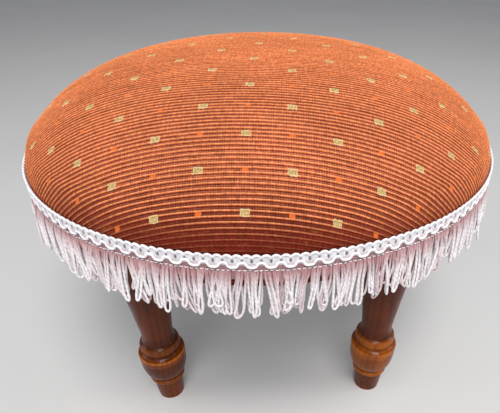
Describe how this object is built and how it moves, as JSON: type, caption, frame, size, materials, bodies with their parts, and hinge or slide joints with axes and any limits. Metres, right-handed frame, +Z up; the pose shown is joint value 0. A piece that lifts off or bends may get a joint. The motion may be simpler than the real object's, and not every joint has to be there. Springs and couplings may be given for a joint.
{
  "type": "kneeling stool",
  "caption": "Low round kneeling stool with a domed cloth cushion, a braided and fringed rim, and turned wooden legs.",
  "frame": {"origin": "on the floor, under the middle of the round seat", "axes": "+Z up; -Y towards the front; the legs stand on the diagonals of X and Y"},
  "size_m": [0.38, 0.38, 0.2875],
  "materials": {
    "cover_cloth": "matte",
    "braid": "satin",
    "fringe_yarn": "matte",
    "bottom_cloth": "matte",
    "foam": "matte",
    "batting": "matte",
    "board": "matte",
    "leg_wood": "gloss",
    "leg_fixings": "satin",
    "tacks": "satin"
  },
  "bodies": {
    "root": {"seat_board": "board", "foam_pad": "foam", "wadding": "batting", "fabric_cover": "cover_cloth", "dust_cover": "bottom_cloth", "fringe_header": "braid", "gimp_braid": "braid", "fringe_loops": "fringe_yarn", "leg_front_left": "leg_wood", "leg_front_right": "leg_wood", "leg_rear_left": "leg_wood", "leg_rear_right": "leg_wood", "hanger_bolt_front_left": "leg_fixings", "hanger_bolt_front_right": "leg_fixings", "hanger_bolt_rear_left": "leg_fixings", "hanger_bolt_rear_right": "leg_fixings", "tee_nut_front_left": "leg_fixings", "tee_nut_front_right": "leg_fixings", "tee_nut_rear_left": "leg_fixings", "tee_nut_rear_right": "leg_fixings", "cover_tack_01": "tacks", "cover_tack_02": "tacks", "cover_tack_03": "tacks", "cover_tack_04": "tacks", "cover_tack_05": "tacks", "cover_tack_06": "tacks", "cover_tack_07": "tacks", "cover_tack_08": "tacks", "cover_tack_09": "tacks", "cover_tack_10": "tacks", "cover_tack_11": "tacks", "cover_tack_12": "tacks", "dust_cover_tack_01": "tacks", "dust_cover_tack_02": "tacks", "dust_cover_tack_03": "tacks", "dust_cover_tack_04": "tacks", "dust_cover_tack_05": "tacks", "dust_cover_tack_06": "tacks", "dust_cover_tack_07": "tacks", "dust_cover_tack_08": "tacks", "dust_cover_tack_09": "tacks", "dust_cover_tack_10": "tacks", "dust_cover_tack_11": "tacks", "dust_cover_tack_12": "tacks"}
  },
  "joints": []
}
